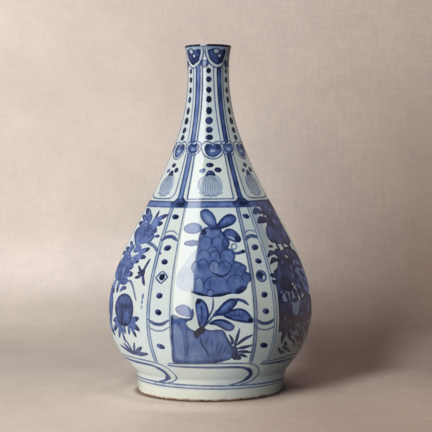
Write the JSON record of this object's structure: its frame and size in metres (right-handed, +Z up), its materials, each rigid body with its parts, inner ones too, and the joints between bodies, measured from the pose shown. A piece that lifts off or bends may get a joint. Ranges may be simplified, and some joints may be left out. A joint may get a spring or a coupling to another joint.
{
  "type": "bottle vase",
  "caption": "Hollow pear-shaped porcelain bottle vase with moulded flat panels, slender neck, round lip and round foot ring; stands on a table and holds stems or water.",
  "frame": {"origin": "centre of the foot ring's standing face", "axes": "+Z up along the vase's axis; -Y out of the middle of the front panel"},
  "size_m": [0.1708, 0.1622, 0.29],
  "materials": {
    "painted_porcelain": "glossy bluish-white glaze over cobalt painting",
    "foot_clay": "glossy glaze with a bare, rust-brown standing edge",
    "dried_slip": "fired slip, matt"
  },
  "bodies": {
    "root": {"foot_ring": "foot_clay", "foot_seam": "dried_slip", "lower_body": "painted_porcelain", "belly_seam": "dried_slip", "upper_body": "painted_porcelain", "shoulder_seam": "dried_slip", "shoulder": "painted_porcelain", "collar_seam": "dried_slip", "neck": "painted_porcelain"}
  },
  "joints": []
}
